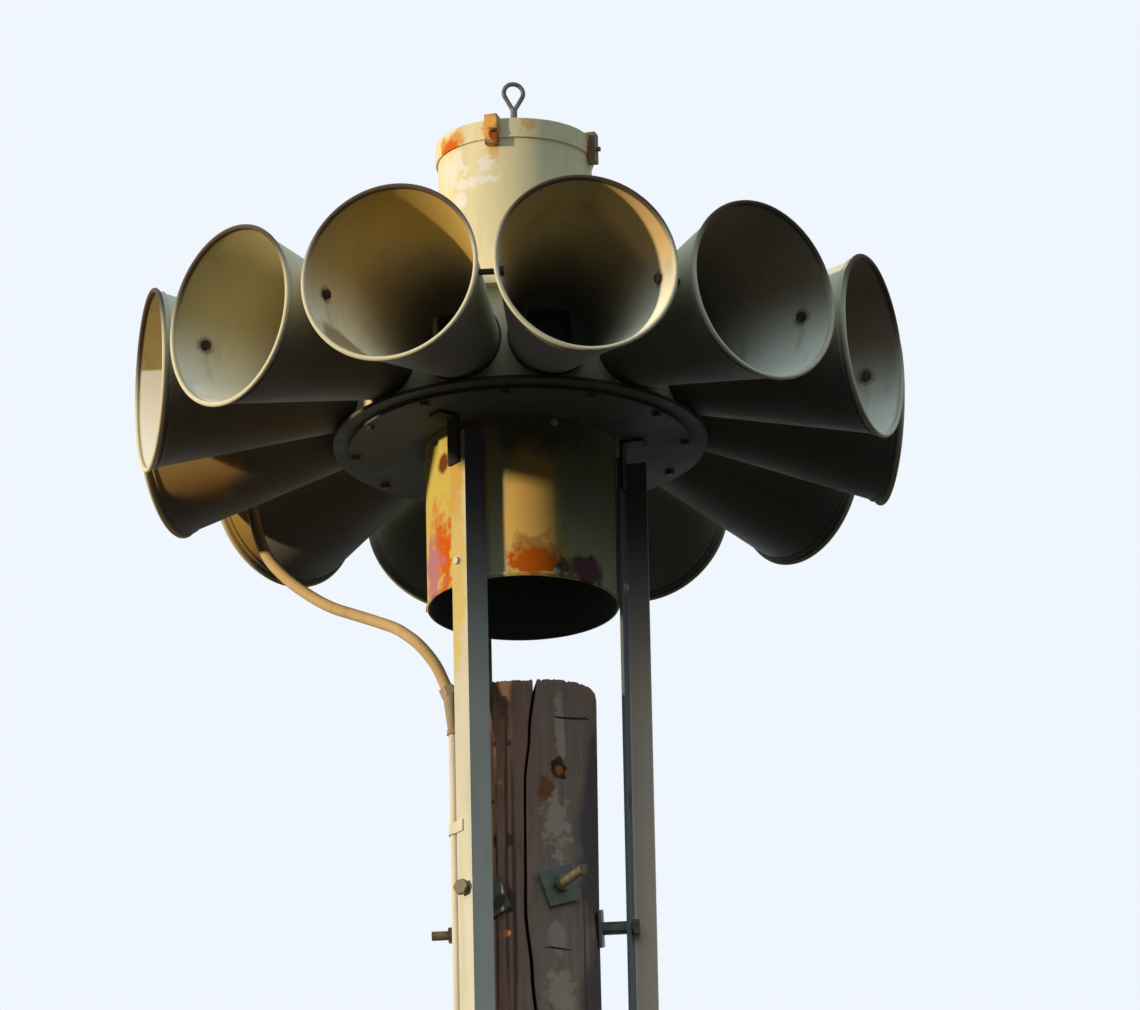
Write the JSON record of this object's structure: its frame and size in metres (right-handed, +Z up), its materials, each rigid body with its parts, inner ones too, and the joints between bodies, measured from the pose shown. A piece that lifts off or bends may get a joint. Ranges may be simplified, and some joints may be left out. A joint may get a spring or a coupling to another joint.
{
  "type": "civil defense siren tower",
  "caption": "Omnidirectional warning siren with a ring of straight conical horns round a drum, on angle legs bolted to a tall timber pole.",
  "frame": {"origin": "centre of the pole's section at ground level", "axes": "+Z up along the pole, -Y along the axis of the first horn, which points to the front"},
  "size_m": [1.544, 1.544, 13.099],
  "materials": {
    "housing_paint": "weathered khaki paint with rust",
    "horn_paint": "weathered khaki paint, dusty inside",
    "leg_paint": "weathered khaki paint",
    "conduit_paint": "painted conduit, dull",
    "galvanised_steel": "dull galvanised steel",
    "weathered_timber": "weathered, checked timber"
  },
  "bodies": {
    "root": {"bottom_cover": "housing_paint", "bottom_flange": "housing_paint", "bracket_left": "leg_paint", "bracket_rear": "leg_paint", "bracket_right": "leg_paint", "conduit": "conduit_paint", "conduit_coupling": "conduit_paint", "conduit_gland": "conduit_paint", "conduit_riser": "conduit_paint", "conduit_straps": "conduit_paint", "drum_housing": "housing_paint", "eye_bolt": "galvanised_steel", "horn_01": "horn_paint", "horn_02": "horn_paint", "horn_03": "horn_paint", "horn_04": "horn_paint", "horn_05": "horn_paint", "horn_06": "horn_paint", "horn_07": "horn_paint", "horn_08": "horn_paint", "horn_09": "horn_paint", "horn_10": "horn_paint", "horn_11": "horn_paint", "horn_12": "horn_paint", "horn_ties": "galvanised_steel", "intake_cowl": "housing_paint", "leg_left": "leg_paint", "leg_rear": "leg_paint", "leg_right": "leg_paint", "lid": "housing_paint", "lid_clamps": "housing_paint", "motor_can": "housing_paint", "pole": "weathered_timber", "pole_washers_lower": "galvanised_steel", "pole_washers_upper": "galvanised_steel", "spacer_ring": "housing_paint", "spacer_tubes_lower": "galvanised_steel", "spacer_tubes_upper": "galvanised_steel", "through_bolts_lower": "galvanised_steel", "through_bolts_upper": "galvanised_steel", "top_plate": "housing_paint"}
  },
  "joints": []
}
